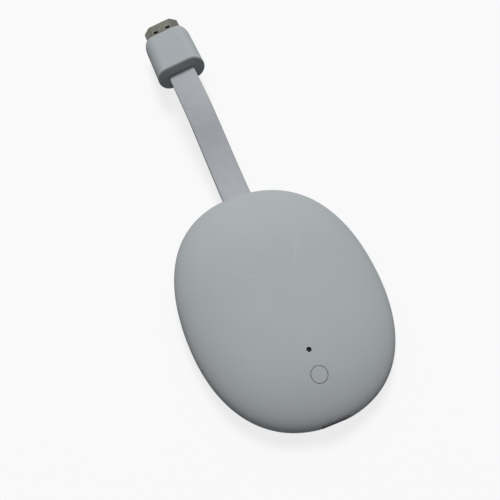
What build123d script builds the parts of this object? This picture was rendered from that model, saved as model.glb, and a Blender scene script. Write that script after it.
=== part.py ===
from build123d import *
import os
from math import radians, sqrt, tan

# Streaming stick: a flat oval housing, a short flat ribbon and a video plug.
# Lengths are in millimetres and angles in degrees. X runs across, +Y towards the plug and +Z out of
# the back cover. The origin is the middle of the flat face that the stick lies on.

os.makedirs("parts", exist_ok=True)

# Housing
body_width = 61.0
body_length = 77.0
body_thickness = 12.5
oval_fullness = 0.634  # 0.552 gives an ellipse, more gives a squarer outline
parting_height = 4.6
wall = 1.5
front_flat_share = 0.5  # width of the flat zone, as a share of the housing's width
back_flat_share = 0.3
lip_height = 0.7
lip_thickness = 0.6
lip_gap = 0.1

# Main board, its bosses and its screws
board_bottom = 4.1
board_thickness = 1.0
board_rim_gap = 1.4
boss_spacing_x = 39.0
boss_from_port_end = 28.5
boss_from_ribbon_end = 22.5
boss_diameter = 4.0
screw_diameter = 1.6
screw_length = 3.3
screw_head_diameter = 3.0
screw_head_height = 0.9
screw_slot_width = 0.4
screw_slot_depth = 0.35
screw_core_gap = 0.06
screw_end_gap = 0.2
screw_hole_gap = 0.25

# Power socket, in the end away from the ribbon
socket_above_board = -0.2  # its middle lies below the board's top face
socket_width = 8.94
socket_thickness = 3.16
socket_length = 7.35
socket_wall = 0.3
socket_gap = 0.12
port_pad_depth = 0.25
socket_recess = 1.0
tongue_width = 6.69
tongue_thickness = 0.7
tongue_recess = 1.0
socket_block_length = 2.0
socket_contacts_per_side = 12
socket_contact_pitch = 0.5
socket_contact_width = 0.25
socket_contact_thickness = 0.12
socket_contact_proud = 0.03
socket_contact_recess = 0.6
socket_tail_length = 1.1
socket_tab_length = 1.4
socket_tab_width = 1.1

# Reset button, push switch and status light
button_from_end = 12.8
button_hole_diameter = 4.8
button_gap = 0.15
button_flange_overlap = 0.75
button_flange_height = 0.7
button_stop_height = 9.0
button_stop_gap = 0.05
button_guide_wall = 1.4
button_stem_diameter = 2.2
button_travel = 0.25
switch_width = 4.4
switch_length = 3.6
switch_height = 1.6
switch_lid = 0.35
switch_floor = 0.3
plunger_diameter = 1.7
plunger_flange_diameter = 2.5
plunger_flange_height = 0.3
plunger_gap = 0.08
plunger_pressed_proud = 0.15
dome_diameter = 2.5
dome_height = 0.5
dome_sheet = 0.08
dome_side_angle = 40.0
light_from_button = 7.1
light_hole_diameter = 1.45
light_pipe_gap = 0.04
light_pipe_recess = 0.75
light_collar_diameter = 2.6
light_collar_height = 0.8
light_collar_drop = 0.6
light_width = 1.6
light_length = 0.9
light_height = 0.65
light_gap = 0.25

# Shield cans, thermal pads and heat spreaders
can_y = 5.0
can_width = 26.0
can_length = 26.0
can_sheet = 0.2
can_corner_radius = 1.2
can_top_edge = 0.15
can_vent_size = 1.2
can_vent_pitch = 4.4
can_vent_count = 5
can_vent_margin = 1.6
back_can_height = 2.0
front_can_height = 1.2
pad_inset = 3.2
back_pad_height = 1.1
front_pad_height = 0.45
spreader_sheet = 0.7
spreader_corner_radius = 3.5
back_spreader_width = 33.0
back_spreader_from_end = 15.0  # from the housing's end at the ribbon
spreader_foot_length = 5.6
spreader_foot_width = 4.6
spreader_rib_width = 2.2
spreader_rib_length = 26.0
spreader_rib_height = 0.5
spreader_rib_spacing = 11.0
front_spreader_width = 26.0
front_spreader_length = 32.0

# Chips and other parts on the board
chip_edge = 0.12
chip_corner = 0.6
processor_size = 14.0
processor_height = 1.2
processor_x = -4.5
memory_width = 7.6
memory_length = 10.0
memory_height = 1.0
memory_x = 8.0
memory_spacing = 11.5
flash_width = 11.5
flash_length = 13.0
flash_height = 0.9
flash_x = -5.0
radio_size = 7.0
radio_height = 0.8
radio_x = 7.5
power_chip_size = 4.0
power_chip_height = 0.8
power_chip_x = -9.0
power_chip_from_can = 6.0
inductor_size = 2.6
inductor_height = 1.3
inductor_corner = 0.4
inductor_spacing = 3.6
inductor_count = 3
inductor_x = -13.5
inductor_from_can = 10.5
capacitor_width = 0.55
capacitor_length = 1.0
capacitor_height = 0.5
capacitor_spacing = 1.5
capacitor_count = 8
capacitor_rows = 2
capacitor_row_spacing = 2.2
capacitor_x = 1.5
capacitor_from_can = 4.0
crystal_width = 3.2
crystal_length = 2.5
crystal_height = 0.7
crystal_x = 13.5
crystal_from_can = 5.5
antenna_x = 12.0
antenna_from_end = 12.1
antenna_length = 9.0
antenna_width = 2.6
antenna_height = 2.4
antenna_sheet = 0.25
antenna_leg = 1.2
antenna_leg_gap = 1.6

# Flat ribbon, its anchor and its wires inside the housing
ribbon_width = 9.6
ribbon_thickness = 1.8
ribbon_edge = 0.5
ribbon_slot_gap = 0.2
ribbon_straight = 5.3  # how far it runs straight out of the housing
ribbon_before_plug = 6.5
ribbon_in_plug = 5.0
ribbon_fit = 0.02
ribbon_sections = 12
ribbon_bend_share = 0.45  # part of each stretch of the route that a bend takes
ribbon_held_share = 0.55  # part of the first and last stretch that stays straight
ribbon_rise_x = -0.2  # where the ribbon starts to rise
ribbon_rise_distance = 19.0
ribbon_rise_height = 7.3
ribbon_crest_x = -0.6  # the top of its rise
ribbon_crest_distance = 32.5
ribbon_crest_height = 10.8
anchor_width = 12.6
anchor_length = 4.6
anchor_thickness = 2.8
anchor_from_end = 2.5
anchor_edge = 0.3
anchor_gap = 0.2
anchor_fit = 0.02
anchor_rib = 1.0
saddle_inset = 1.0
wire_count = 19
wire_pitch = 0.5
wire_diameter = 0.34
wire_sides = 6  # at this size a wire looks round with few sides
wire_lift = 0.03
wire_board_reach = 5.2
clamp_width = 10.6
clamp_length = 1.4
clamp_sheet = 0.25
clamp_from_ribbon = 3.4

# Video plug. It lies with its tip lower than its rear face, and rolled a little about its axis.
plug_rear_height = 10.35
plug_rear_distance = 52.3  # from the housing's end
plug_rear_x = -0.9
plug_pitch = -12.0
plug_yaw = -1.5
plug_roll = -11.4
sleeve_width = 17.6
sleeve_thickness = 8.6
sleeve_length = 22.4
sleeve_corner_radius = 3.0
sleeve_wall = 1.3
sleeve_floor = 2.4
sleeve_rear_edge = 0.35
shell_width = 13.9
shell_height = 4.45
shell_narrow_width = 8.7
shell_taper_height = 2.0
shell_corner_radius = 0.45
shell_sheet = 0.3
shell_reach = 10.4  # how far the shell stands out of the sleeve
shell_hidden = 5.0
shell_tip_edge = 0.2
latch_hole_width = 1.75
latch_hole_length = 1.5
latch_hole_spacing = 5.0
latch_hole_from_tip = 5.3
latch_hole_depth = 0.8
plug_fit = 0.04
mouth_width = 11.6
mouth_height = 1.9
mouth_depth = 7.0
insulator_recess = 0.4
insulator_tail = 1.2
plug_contact_pitch = 0.5
plug_contact_width = 0.34
plug_contact_thickness = 0.25
plug_contact_proud = 0.12
plug_contact_recess = 1.0
plug_contact_tail = 3.0
wire_end_gap = 0.2
wire_channel_width = 10.8
wire_channel_height = 3.0

# Places worked out from the sizes above
board_top = board_bottom + board_thickness
inner_width = body_width - 2 * wall
inner_length = body_length - 2 * wall
inner_back = body_thickness - wall
boss_spacing_y = body_length - boss_from_port_end - boss_from_ribbon_end
boss_middle_y = (boss_from_port_end - boss_from_ribbon_end) / 2
port_pad_y = -body_length / 2 + port_pad_depth
socket_height = board_top + socket_above_board
socket_mouth_y = port_pad_y + socket_recess
socket_rear_y = socket_mouth_y + socket_length
foot_top = board_top + spreader_sheet
screw_end = foot_top - screw_length
back_can_top = board_top + back_can_height
front_can_bottom = board_bottom - front_can_height
back_spreader_bottom = back_can_top + back_pad_height
back_spreader_top = back_spreader_bottom + spreader_sheet
back_spreader_length = body_length - 2 * (can_y + back_spreader_from_end)
front_spreader_top = front_can_bottom - front_pad_height
ribbon_height = board_top + wire_lift + wire_diameter / 2
ribbon_end_y = body_length / 2
anchor_outer_y = ribbon_end_y - anchor_from_end
ribbon_start_y = anchor_outer_y - anchor_length
antenna_y = ribbon_end_y - antenna_from_end
button_y = -body_length / 2 + button_from_end
light_y = button_y + light_from_button
can_end_y = can_y - can_length / 2
plunger_proud = button_travel + plunger_pressed_proud
plunger_top = board_top + switch_height + plunger_proud
button_flange_top = button_stop_height - button_stop_gap
button_radius = button_hole_diameter / 2 - button_gap
plug_tip = sleeve_length + shell_reach
shell_rear = sleeve_length - shell_hidden
insulator_rear = shell_rear - insulator_tail
plug_contact_rear = insulator_rear - plug_contact_tail
plug_contact_height = mouth_height / 2 - plug_contact_proud + plug_contact_thickness / 2

plug_rear = Vector(plug_rear_x, ribbon_end_y + plug_rear_distance, plug_rear_height)
plug_axis = Vector(0, 1, 0).rotate(Axis.X, plug_pitch).rotate(Axis.Z, plug_yaw)
plug_across = Vector(1, 0, 0).rotate(Axis.Z, plug_yaw).rotate(Axis((0, 0, 0), plug_axis), plug_roll)
plug_up = plug_across.cross(plug_axis)

# The four quarters of the housing's outline, anticlockwise, as signs of X and Y
quarters = [(1, 1), (-1, 1), (-1, -1), (1, -1)]

# Route of the ribbon's middle line, from inside the housing to inside the plug
ribbon_route = [
    Vector(0, ribbon_start_y, ribbon_height),
    Vector(0, ribbon_end_y + ribbon_straight, ribbon_height),
    Vector(ribbon_rise_x, ribbon_end_y + ribbon_rise_distance, ribbon_rise_height),
    Vector(ribbon_crest_x, ribbon_end_y + ribbon_crest_distance, ribbon_crest_height),
    plug_rear - plug_axis * ribbon_before_plug,
    plug_rear + plug_axis * ribbon_in_plug,
]


def quarter_points(width, length, side, end):
    """Control points of one quarter of the housing's outline, anticlockwise."""
    x = side * width / 2
    y = end * length / 2
    points = [(x, 0), (x, y * oval_fullness), (x * oval_fullness, y), (0, y)]
    return points if side * end > 0 else points[::-1]


def oval(width, length, mode=Mode.ADD):
    """Draws the housing's outline at a given size, as a face of the current sketch."""
    with BuildLine() as outline:
        for side, end in quarters:
            Bezier(*quarter_points(width, length, side, end))
    make_face(outline.edges(), mode=mode)


def pebble_half(width, length, crown, flat_share, mode=Mode.ADD):
    """Adds one half of the pebble: an oval that closes over a quarter of an ellipse to a flat crown."""
    shoulder = [(1, parting_height), (1, crown), (flat_share, crown)]
    weights = [[1, sqrt(1 / 2), 1]] * 4
    skin = []
    for side, end in quarters:
        points = quarter_points(width, length, side, end)
        grid = [[(x * share, y * share, height) for share, height in shoulder] for x, y in points]
        skin.append(Face.make_bezier_surface(grid, weights))
    for share, height in (shoulder[0], shoulder[-1]):
        with BuildSketch(Plane.XY.offset(height)) as end_face:
            oval(width * share, length * share)
        skin.extend(end_face.sketch.faces())
    add(Solid(Shell(skin)), mode=mode)


def front_half(inset, mode=Mode.ADD):
    """Front half of the housing's form, set in from the outside by a wall or a share of one."""
    pebble_half(body_width - 2 * inset, body_length - 2 * inset, inset, front_flat_share, mode)


def back_half(inset, mode=Mode.ADD):
    """Back half of the housing's form, set in from the outside by a wall or a share of one."""
    crown = body_thickness - inset
    pebble_half(body_width - 2 * inset, body_length - 2 * inset, crown, back_flat_share, mode)


def facing_port(y, height=0.0):
    """Plane that faces the power socket's end, with its local y upwards."""
    return Plane(origin=(0, y, height), x_dir=(1, 0, 0), z_dir=(0, -1, 0))


def along_plug(distance):
    """Plane square to the plug's axis, so far from its rear face, with its local y upwards."""
    return Plane(origin=plug_rear + plug_axis * distance, x_dir=plug_across * -1, z_dir=plug_axis)


def plug_plan(height=0.0):
    """Plane along the plug, so far above its axis, with its local y towards the tip."""
    return Plane(origin=plug_rear + plug_up * height, x_dir=plug_across, z_dir=plug_up)


def finish(piece, label):
    """Names a finished piece and writes it to its own file."""
    piece.part.label = label
    export_step(piece.part, f"parts/{label}.step")


# The housing's form: the outside of the back, which the button's cap follows, and the middle of each
# wall, which bosses and ribs grow from
with BuildPart() as back_outside:
    back_half(0)

with BuildPart() as front_core:
    front_half(wall / 2)

with BuildPart() as back_core:
    back_half(wall / 2)

# What is cut out of both covers: the flat pad and opening of the power socket, the ribbon's slot and
# the pocket of its anchor
with BuildPart() as end_cuts:
    with BuildSketch(facing_port(port_pad_y, body_thickness / 2)):
        Rectangle(body_width, 2 * body_thickness)
    extrude(amount=body_length / 4)
    with BuildSketch(facing_port(socket_rear_y + socket_gap, socket_height)):
        SlotOverall(socket_width + 2 * socket_gap, socket_thickness + 2 * socket_gap)
    extrude(amount=body_length / 2)
    with BuildSketch(facing_port(anchor_outer_y, ribbon_height)):
        Rectangle(ribbon_width + 2 * ribbon_slot_gap, ribbon_thickness + 2 * ribbon_slot_gap)
    extrude(amount=-body_length / 4)
    with BuildSketch(facing_port(anchor_outer_y + anchor_gap, ribbon_height)):
        Rectangle(anchor_width + 2 * anchor_gap, anchor_thickness + 2 * anchor_fit)
    extrude(amount=anchor_length + 2 * anchor_gap)

# Front cover: shell, rebate for the back cover's lip, screw bosses and the anchor's saddle
with BuildPart() as front_fittings:
    with BuildSketch(Plane.XY):
        with Locations((0, boss_middle_y)):
            with GridLocations(boss_spacing_x, boss_spacing_y, 2, 2):
                Circle(boss_diameter / 2)
    extrude(amount=board_bottom)
    with BuildSketch(Plane.XY):
        with Locations((0, ribbon_start_y + anchor_length / 2)):
            Rectangle(anchor_width - 2 * saddle_inset, anchor_length)
    extrude(amount=ribbon_height - anchor_thickness / 2 - anchor_fit)
    with BuildSketch(Plane.XY):
        with Locations((0, ribbon_start_y - anchor_gap - anchor_rib / 2)):
            Rectangle(anchor_width - 2 * saddle_inset, anchor_rib)
    extrude(amount=ribbon_height - ribbon_thickness / 2)
    add(front_core.part, mode=Mode.INTERSECT)

with BuildPart() as front_cover:
    front_half(0)
    front_half(wall, mode=Mode.SUBTRACT)
    with BuildSketch(Plane.XY.offset(parting_height)):
        oval(inner_width + 2 * (lip_thickness + lip_gap), inner_length + 2 * (lip_thickness + lip_gap))
    extrude(amount=-lip_height - lip_gap, mode=Mode.SUBTRACT)
    add(front_fittings.part)
    with BuildSketch(Plane.XY.offset(board_bottom)):
        with Locations((0, boss_middle_y)):
            with GridLocations(boss_spacing_x, boss_spacing_y, 2, 2):
                Circle(screw_diameter / 2 + screw_core_gap)
    extrude(amount=screw_end - screw_end_gap - board_bottom, mode=Mode.SUBTRACT)
    add(end_cuts.part, mode=Mode.SUBTRACT)
finish(front_cover, "front_cover")

# Back cover: shell, lip, guide of the reset button, light hole
with BuildPart() as back_fittings:
    with BuildSketch(Plane.XY.offset(button_stop_height)):
        with Locations((0, button_y)):
            Circle(button_hole_diameter / 2 + button_guide_wall)
    extrude(amount=body_thickness - button_stop_height)
    add(back_core.part, mode=Mode.INTERSECT)

with BuildPart() as back_cover:
    back_half(0)
    back_half(wall, mode=Mode.SUBTRACT)
    with BuildSketch(Plane.XY.offset(parting_height - lip_height)):
        oval(inner_width + 2 * lip_thickness, inner_length + 2 * lip_thickness)
        oval(inner_width, inner_length, mode=Mode.SUBTRACT)
    extrude(amount=lip_height + lip_gap)
    add(back_fittings.part)
    with BuildSketch(Plane.XY.offset(button_stop_height)):
        with Locations((0, button_y)):
            Circle(button_hole_diameter / 2)
    extrude(amount=body_thickness, mode=Mode.SUBTRACT)
    with BuildSketch(Plane.XY.offset(inner_back - light_collar_drop)):
        with Locations((0, light_y)):
            Circle(light_hole_diameter / 2)
    extrude(amount=body_thickness, mode=Mode.SUBTRACT)
    add(end_cuts.part, mode=Mode.SUBTRACT)
finish(back_cover, "back_cover")

# Reset button: a domed cap that follows the cover, a flange that the cover's guide stops, and a stem
with BuildPart() as reset_button:
    with BuildSketch(Plane.XY.offset(button_flange_top - button_flange_height)):
        with Locations((0, button_y)):
            Circle(button_radius)
    extrude(amount=body_thickness)
    add(back_outside.part, mode=Mode.INTERSECT)
    with BuildSketch(Plane.XY.offset(button_flange_top - button_flange_height)):
        with Locations((0, button_y)):
            Circle(button_hole_diameter / 2 + button_flange_overlap)
    extrude(amount=button_flange_height)
    with BuildSketch(Plane.XY.offset(plunger_top)):
        with Locations((0, button_y)):
            Circle(button_stem_diameter / 2)
    extrude(amount=button_flange_top - plunger_top)
finish(reset_button, "reset_button")

# Push switch under the button: body with a well for its snap dome, the dome, and the plunger
with BuildPart() as push_switch_body:
    with BuildSketch(Plane.XY.offset(board_top)):
        with Locations((0, button_y)):
            Rectangle(switch_width, switch_length)
    extrude(amount=switch_height)
    chamfer(push_switch_body.faces().sort_by(Axis.Z)[-1].edges(), chip_edge)
    with BuildSketch(Plane.XY.offset(board_top + switch_floor)):
        with Locations((0, button_y)):
            Circle(plunger_flange_diameter / 2 + plunger_gap)
    extrude(amount=switch_height - switch_floor - switch_lid, mode=Mode.SUBTRACT)
    with BuildSketch(Plane.XY.offset(board_top + switch_floor)):
        with Locations((0, button_y)):
            Circle(plunger_diameter / 2 + plunger_gap)
    extrude(amount=switch_height, mode=Mode.SUBTRACT)
finish(push_switch_body, "push_switch_body")

with BuildPart() as switch_plunger:
    with BuildSketch(Plane.XY.offset(board_top + switch_height - switch_lid - plunger_gap)):
        with Locations((0, button_y)):
            Circle(plunger_flange_diameter / 2)
    extrude(amount=-plunger_flange_height)
    with BuildSketch(Plane.XY.offset(board_top + switch_height - switch_lid - plunger_gap)):
        with Locations((0, button_y)):
            Circle(plunger_diameter / 2)
    extrude(amount=switch_lid + plunger_gap + plunger_proud)
finish(switch_plunger, "switch_plunger")

# The snap dome is a thin disc pressed into a low cup, turned about the plunger's axis
dome_floor = board_top + switch_floor
with BuildPart() as switch_snap_dome:
    with BuildSketch(Plane(origin=(0, button_y, dome_floor), x_dir=(1, 0, 0), z_dir=(0, -1, 0))):
        Trapezoid(dome_diameter, dome_height, dome_side_angle, align=(Align.CENTER, Align.MIN))
        Trapezoid(
            dome_diameter - 2 * dome_sheet,
            dome_height - dome_sheet,
            dome_side_angle,
            align=(Align.CENTER, Align.MIN),
            mode=Mode.SUBTRACT,
        )
        with Locations((-dome_diameter / 2, 0)):
            Rectangle(dome_diameter / 2, dome_height, align=Align.MIN, mode=Mode.SUBTRACT)
    revolve(axis=Axis((0, button_y, dome_floor), (0, 0, 1)))
finish(switch_snap_dome, "switch_snap_dome")

# Status light on the board and the clear pipe that brings it to the back cover
with BuildPart() as status_light:
    with BuildSketch(Plane.XY.offset(board_top)):
        with Locations((0, light_y)):
            Rectangle(light_width, light_length)
    extrude(amount=light_height)
    chamfer(status_light.faces().sort_by(Axis.Z)[-1].edges(), chip_edge)
finish(status_light, "status_light")

with BuildPart() as light_pipe:
    with BuildSketch(Plane.XY.offset(board_top + light_height + light_gap)):
        with Locations((0, light_y)):
            Circle(light_hole_diameter / 2 - light_pipe_gap)
    extrude(amount=body_thickness - light_pipe_recess - board_top - light_height - light_gap)
    with BuildSketch(Plane.XY.offset(inner_back - light_collar_drop)):
        with Locations((0, light_y)):
            Circle(light_collar_diameter / 2)
    extrude(amount=-light_collar_height)
finish(light_pipe, "light_pipe")

# Main board, cut away round the power socket and round the ribbon's anchor
board_width = inner_width - 2 * board_rim_gap
board_length = inner_length - 2 * board_rim_gap
socket_notch_end = socket_rear_y + socket_gap
anchor_notch_end = ribbon_start_y - 2 * anchor_gap - anchor_rib
with BuildPart() as main_board:
    with BuildSketch(Plane.XY.offset(board_bottom)):
        oval(board_width, board_length)
        with Locations((0, socket_notch_end)):
            Rectangle(
                socket_width + 2 * socket_gap, board_length, align=(Align.CENTER, Align.MAX), mode=Mode.SUBTRACT
            )
        with Locations((0, anchor_notch_end)):
            Rectangle(
                anchor_width + 2 * anchor_gap, board_length, align=(Align.CENTER, Align.MIN), mode=Mode.SUBTRACT
            )
        with Locations((0, boss_middle_y)):
            with GridLocations(boss_spacing_x, boss_spacing_y, 2, 2):
                Circle(screw_diameter / 2 + screw_hole_gap, mode=Mode.SUBTRACT)
    extrude(amount=board_thickness)
finish(main_board, "main_board")

# Four board screws: pan head with a cross slot, and a shank that ends in the front cover's boss
with BuildPart() as board_screws:
    with BuildSketch(Plane.XY.offset(foot_top)):
        with Locations((0, boss_middle_y)):
            with GridLocations(boss_spacing_x, boss_spacing_y, 2, 2):
                Circle(screw_head_diameter / 2)
    extrude(amount=screw_head_height)
    with BuildSketch(Plane.XY.offset(foot_top)):
        with Locations((0, boss_middle_y)):
            with GridLocations(boss_spacing_x, boss_spacing_y, 2, 2):
                Circle(screw_diameter / 2)
    extrude(amount=-screw_length)
    with BuildSketch(Plane.XY.offset(foot_top + screw_head_height)):
        with Locations((0, boss_middle_y)):
            with GridLocations(boss_spacing_x, boss_spacing_y, 2, 2):
                Rectangle(screw_head_diameter / 2, screw_slot_width)
                Rectangle(screw_slot_width, screw_head_diameter / 2)
    extrude(amount=-screw_slot_depth, mode=Mode.SUBTRACT)
finish(board_screws, "board_screws")


def chip(name, x, y, width, length, height, face=board_top, up=1):
    """A chip on the board: a moulded block with broken edges and a cut corner that marks its first pin."""
    with BuildPart() as block:
        with BuildSketch(Plane.XY.offset(face)):
            with Locations((x, y)):
                Rectangle(width, length)
        extrude(amount=up * height)
        first_corner = block.edges().filter_by(Axis.Z).sort_by(Axis((0, 0, 0), (1, 1, 0)))[0]
        chamfer(first_corner, chip_corner)
        far_face = block.faces().sort_by(Axis.Z)[-1 if up > 0 else 0]
        chamfer(far_face.edges(), chip_edge)
    finish(block, name)


chip("processor_chip", processor_x, can_y, processor_size, processor_size, processor_height)
chip("upper_memory_chip", memory_x, can_y + memory_spacing / 2, memory_width, memory_length, memory_height)
chip("lower_memory_chip", memory_x, can_y - memory_spacing / 2, memory_width, memory_length, memory_height)
chip("flash_chip", flash_x, can_y, flash_width, flash_length, flash_height, board_bottom, -1)
chip("radio_chip", radio_x, can_y, radio_size, radio_size, radio_height, board_bottom, -1)
power_chip_y = can_end_y - power_chip_from_can
chip("power_chip", power_chip_x, power_chip_y, power_chip_size, power_chip_size, power_chip_height)

# Small parts beside the chips: power inductors, capacitors and the clock crystal
with BuildPart() as power_inductors:
    with BuildSketch(Plane.XY.offset(board_top)):
        with Locations((inductor_x + inductor_spacing, can_end_y - inductor_from_can)):
            with GridLocations(inductor_spacing, 0, inductor_count, 1):
                Rectangle(inductor_size, inductor_size)
    extrude(amount=inductor_height)
    chamfer(power_inductors.edges().filter_by(Axis.Z), inductor_corner)
finish(power_inductors, "power_inductors")

with BuildPart() as capacitors:
    with BuildSketch(Plane.XY.offset(board_top)):
        with Locations((capacitor_x, can_end_y - capacitor_from_can)):
            with GridLocations(capacitor_spacing, capacitor_row_spacing, capacitor_count, capacitor_rows):
                Rectangle(capacitor_width, capacitor_length)
    extrude(amount=capacitor_height)
finish(capacitors, "capacitors")

with BuildPart() as clock_crystal:
    with BuildSketch(Plane.XY.offset(board_top)):
        with Locations((crystal_x, can_end_y - crystal_from_can)):
            Rectangle(crystal_width, crystal_length)
    extrude(amount=crystal_height)
    chamfer(clock_crystal.faces().sort_by(Axis.Z)[-1].edges(), chip_edge)
finish(clock_crystal, "clock_crystal")


def shield_can(name, face, height, up):
    """A drawn can over the chips: open towards the board, with two rows of vents in its top."""
    with BuildPart() as can:
        with BuildSketch(Plane.XY.offset(face)):
            with Locations((0, can_y)):
                RectangleRounded(can_width, can_length, can_corner_radius)
        extrude(amount=up * height)
        far_face = can.faces().sort_by(Axis.Z)[-1 if up > 0 else 0]
        chamfer(far_face.edges(), can_top_edge)
        with BuildSketch(Plane.XY.offset(face)):
            with Locations((0, can_y)):
                RectangleRounded(
                    can_width - 2 * can_sheet, can_length - 2 * can_sheet, can_corner_radius - can_sheet
                )
        extrude(amount=up * (height - can_sheet), mode=Mode.SUBTRACT)
        with BuildSketch(Plane.XY.offset(face)):
            with Locations((0, can_y)):
                with GridLocations(can_vent_pitch, can_length - 2 * can_vent_margin, can_vent_count, 2):
                    Rectangle(can_vent_size, can_vent_size)
        extrude(amount=up * height, mode=Mode.SUBTRACT)
    finish(can, name)


shield_can("back_shield_can", board_top, back_can_height, 1)
shield_can("front_shield_can", board_bottom, front_can_height, -1)


def thermal_pad(name, x, y, width, length, bottom, top):
    """A soft pad that fills the height between two faces."""
    with BuildPart() as pad:
        with BuildSketch(Plane.XY.offset(bottom)):
            with Locations((x, y)):
                Rectangle(width, length)
        extrude(amount=top - bottom)
    finish(pad, name)


pad_width = can_width - 2 * pad_inset
pad_length = can_length - 2 * pad_inset
processor_top = board_top + processor_height
thermal_pad(
    "processor_thermal_pad",
    processor_x,
    can_y,
    processor_size - 2 * chip_edge,
    processor_size - 2 * chip_edge,
    processor_top,
    back_can_top - can_sheet,
)
thermal_pad("back_thermal_pad", 0, can_y, pad_width, pad_length, back_can_top, back_spreader_bottom)
thermal_pad("front_thermal_pad", 0, can_y, pad_width, pad_length, front_spreader_top, front_can_bottom)

# Back heat spreader: a plate with two pressed ribs and four bent feet under the board screws
foot_x = back_spreader_width / 2 - spreader_sheet
with BuildPart() as back_heat_spreader:
    with BuildSketch(Plane.XY.offset(back_spreader_bottom)):
        with Locations((0, can_y)):
            RectangleRounded(back_spreader_width, back_spreader_length, spreader_corner_radius)
    extrude(amount=spreader_sheet)
    with BuildSketch(Plane.XY.offset(back_spreader_top)):
        with Locations((0, can_y)):
            with GridLocations(spreader_rib_spacing, 0, 2, 1):
                Rectangle(spreader_rib_width, spreader_rib_length)
    extrude(amount=spreader_rib_height)
    for foot_y in (boss_middle_y - boss_spacing_y / 2, boss_middle_y + boss_spacing_y / 2):
        with BuildSketch(facing_port(foot_y + spreader_foot_width / 2)):
            with Locations((foot_x, board_top)):
                Rectangle(spreader_sheet, back_spreader_top - board_top, align=Align.MIN)
                Rectangle(spreader_foot_length + spreader_sheet, spreader_sheet, align=Align.MIN)
        extrude(amount=spreader_foot_width)
    with BuildSketch(Plane.XY.offset(board_top)):
        with Locations((0, boss_middle_y)):
            with GridLocations(boss_spacing_x, boss_spacing_y, 2, 2):
                Circle(screw_diameter / 2 + screw_hole_gap)
    extrude(amount=spreader_sheet, mode=Mode.SUBTRACT)
    split(bisect_by=Plane.YZ)
    mirror(about=Plane.YZ)
finish(back_heat_spreader, "back_heat_spreader")

# Front heat spreader: a flat plate between the bosses, just off the front cover's flat zone
with BuildPart() as front_heat_spreader:
    with BuildSketch(Plane.XY.offset(front_spreader_top)):
        RectangleRounded(front_spreader_width, front_spreader_length, spreader_corner_radius)
    extrude(amount=-spreader_sheet)
finish(front_heat_spreader, "front_heat_spreader")

# Power socket: an oval shell with tabs on the board, an insulator with its tongue, and the contacts
with BuildPart() as power_socket_shell:
    with BuildSketch(facing_port(socket_rear_y, socket_height)):
        SlotOverall(socket_width, socket_thickness)
    extrude(amount=socket_length)
    with BuildSketch(facing_port(socket_rear_y - socket_length / 2 + socket_tab_width / 2)):
        with Locations((0, board_top + socket_wall / 2)):
            Rectangle(socket_width + 2 * socket_tab_length, socket_wall)
    extrude(amount=socket_tab_width)
    with BuildSketch(facing_port(socket_rear_y, socket_height)):
        SlotOverall(socket_width - 2 * socket_wall, socket_thickness - 2 * socket_wall)
    extrude(amount=socket_length, mode=Mode.SUBTRACT)
finish(power_socket_shell, "power_socket_shell")

tongue_tip_y = socket_mouth_y + tongue_recess
socket_contact_y = tongue_tip_y + socket_contact_recess
contact_span = (socket_contacts_per_side - 1) * socket_contact_pitch
contact_low = tongue_thickness / 2 + socket_contact_proud - socket_contact_thickness
with BuildPart() as power_socket_contacts:
    for place in range(socket_contacts_per_side):
        x = place * socket_contact_pitch - contact_span / 2 - socket_contact_width / 2
        with BuildSketch(Plane.YZ.offset(x)):
            with Locations((socket_contact_y, socket_height + contact_low)):
                Rectangle(
                    socket_rear_y + socket_tail_length - socket_contact_y,
                    socket_contact_thickness,
                    align=Align.MIN,
                )
            with Locations((socket_rear_y + socket_tail_length, board_top)):
                Rectangle(
                    socket_tail_length / 2,
                    socket_above_board + contact_low + socket_contact_thickness,
                    align=(Align.MAX, Align.MIN),
                )
            with Locations((socket_contact_y, socket_height - contact_low)):
                Rectangle(
                    socket_rear_y - socket_contact_y,
                    socket_contact_thickness,
                    align=(Align.MIN, Align.MAX),
                )
        extrude(amount=socket_contact_width)
finish(power_socket_contacts, "power_socket_contacts")

with BuildPart() as power_socket_insulator:
    with BuildSketch(facing_port(socket_rear_y, socket_height)):
        SlotOverall(socket_width - 2 * socket_wall, socket_thickness - 2 * socket_wall)
    extrude(amount=socket_block_length)
    with BuildSketch(facing_port(socket_rear_y, socket_height)):
        RectangleRounded(tongue_width, tongue_thickness, tongue_thickness / 4)
    extrude(amount=socket_rear_y - tongue_tip_y)
    add(power_socket_contacts.part, mode=Mode.SUBTRACT)
finish(power_socket_insulator, "power_socket_insulator")

# Two antennas: a folded strip that stands on two legs at each side of the ribbon
for side, name in ((-1, "left_antenna"), (1, "right_antenna")):
    feed_x = antenna_x - antenna_length / 2
    with BuildPart() as antenna:
        with BuildSketch(facing_port(antenna_y + antenna_width / 2)):
            with Locations((side * antenna_x, board_top + antenna_height)):
                Rectangle(antenna_length, antenna_sheet, align=(Align.CENTER, Align.MAX))
            for leg_x in (feed_x + antenna_sheet / 2, feed_x + antenna_sheet / 2 + antenna_leg_gap):
                with Locations((side * leg_x, board_top)):
                    Rectangle(antenna_sheet, antenna_height, align=(Align.CENTER, Align.MIN))
        extrude(amount=antenna_width)
        with BuildSketch(facing_port(antenna_y + antenna_width / 2)):
            with Locations((side * feed_x, board_top)):
                Rectangle(2 * antenna_leg_gap + antenna_leg, antenna_height - antenna_sheet)
        extrude(amount=antenna_width - antenna_leg, mode=Mode.SUBTRACT)
    finish(antenna, name)


def ribbon_section(grow=0.0, mode=Mode.ADD):
    """Cross-section of the flat ribbon, grown by a fit, as a face of the current sketch."""
    with BuildSketch(mode=Mode.PRIVATE) as section:
        Rectangle(ribbon_width + 2 * grow, ribbon_thickness + 2 * grow)
        chamfer(section.vertices(), ribbon_edge)
    add(section.sketch, mode=mode)


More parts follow.
